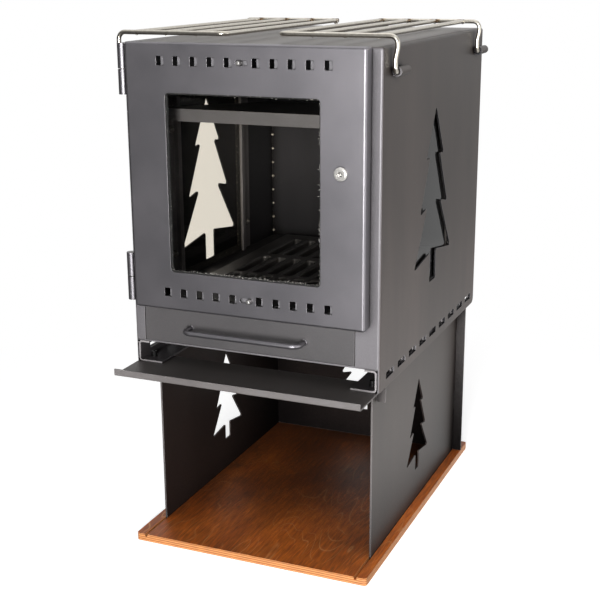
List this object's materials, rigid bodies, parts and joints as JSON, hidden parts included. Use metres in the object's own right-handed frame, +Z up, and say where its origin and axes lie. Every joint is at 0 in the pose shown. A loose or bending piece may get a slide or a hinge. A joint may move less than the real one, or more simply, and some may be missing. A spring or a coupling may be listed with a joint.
{
  "type": "camping wood stove",
  "caption": "Box-shaped portable wood stove of folded sheet steel with glazed door, side windows, ash drawer, folding wire racks and an open log stand on a plywood board",
  "frame": {"origin": "centre of the board's underside", "axes": "+Z up, +Y from the door to the flue collar, +X to the right seen from the front"},
  "size_m": [0.32, 0.4772, 0.5976],
  "materials": {
    "coated_steel": "satin heat-proof coating, dark grey",
    "grate_iron": "matt black",
    "black_fastener": "black oxide",
    "bare_stainless": "drawn wire and plain sheet, uncoated",
    "bright_nickel": "bright nickel plating",
    "glass_fibre": "woven glass fibre, dark grey",
    "ceramic_glass": "clear glass ceramic, slightly warm",
    "stained_plywood": "birch plywood, orange-brown stain, oiled"
  },
  "bodies": {
    "stove": {"base_board": "stained_plywood", "stand_left_panel": "coated_steel", "stand_right_panel": "coated_steel", "stand_back_panel": "coated_steel", "ember_shelf": "coated_steel", "foot_channel_left": "coated_steel", "foot_channel_right": "coated_steel", "foot_screws": "black_fastener", "foot_nuts": "black_fastener", "casing_left_side": "coated_steel", "casing_right_side": "coated_steel", "casing_top": "coated_steel", "front_sill": "coated_steel", "casing_back": "coated_steel", "casing_bottom": "coated_steel", "firebox_floor": "coated_steel", "fire_grate": "grate_iron", "baffle_plate": "grate_iron", "baffle_pins": "coated_steel", "flue_collar": "coated_steel", "flue_flange": "coated_steel", "flue_rivets": "bare_stainless", "side_glass_left": "ceramic_glass", "side_glass_right": "ceramic_glass", "side_glass_gaskets": "glass_fibre", "side_glass_clamps": "coated_steel", "side_clamp_studs": "bare_stainless", "side_clamp_nuts": "bare_stainless", "rack_tubes": "coated_steel", "hinge_lower_halves": "coated_steel", "hinge_pins": "bare_stainless"},
    "door": {"hinge_upper_halves": "coated_steel", "door_panel": "coated_steel", "door_glass": "ceramic_glass", "door_glass_gasket": "glass_fibre", "door_glass_clips": "coated_steel", "door_clip_studs": "bare_stainless", "door_clip_nuts": "bare_stainless", "seal_channel": "coated_steel", "door_rope_seal": "glass_fibre", "slide_rails": "coated_steel", "latch_housing": "bright_nickel", "latch_housing_nut": "bright_nickel"},
    "upper_slide": {"upper_air_slide": "coated_steel", "upper_slide_pin": "bare_stainless"},
    "lower_slide": {"lower_air_slide": "coated_steel", "lower_slide_pin": "bare_stainless"},
    "latch": {"latch_insert": "bright_nickel", "latch_cam": "bare_stainless", "latch_cam_screw": "bare_stainless"},
    "drawer": {"drawer_front": "coated_steel", "drawer_tray": "coated_steel", "drawer_handle": "bare_stainless"},
    "left_rack": {"left_rack_frame": "bare_stainless", "left_rack_bars": "bare_stainless"},
    "right_rack": {"right_rack_frame": "bare_stainless", "right_rack_bars": "bare_stainless"}
  },
  "joints": [
    {"name": "door_swing", "type": "hinge", "parent": "stove", "child": "door", "pos_m": [-0.145, -0.1946, 0.4411], "axis": [0, 0, -1], "range_deg": [0, 170]},
    {"name": "latch_turn", "type": "hinge", "parent": "door", "child": "latch", "pos_m": [0.1112, -0.1966, 0.4586], "axis": [0, 1, 0], "range_deg": [0, 90]},
    {"name": "upper_air_slide_shift", "type": "slide", "parent": "door", "child": "upper_slide", "axis": [1, 0, 0], "range_m": [-0.0022, 0.0068]},
    {"name": "lower_air_slide_shift", "type": "slide", "parent": "door", "child": "lower_slide", "axis": [-1, 0, 0], "range_m": [0, 0.009]},
    {"name": "ash_drawer_slide", "type": "slide", "parent": "stove", "child": "drawer", "axis": [0, -1, 0], "range_m": [0, 0.26]},
    {"name": "left_rack_fold", "type": "hinge", "parent": "stove", "child": "left_rack", "pos_m": [-0.155, -0.0046, 0.5591], "axis": [0, -1, 0], "range_deg": [0, 180]},
    {"name": "right_rack_fold", "type": "hinge", "parent": "stove", "child": "right_rack", "pos_m": [0.155, 0.0134, 0.5591], "axis": [0, 1, 0], "range_deg": [0, 180]}
  ]
}
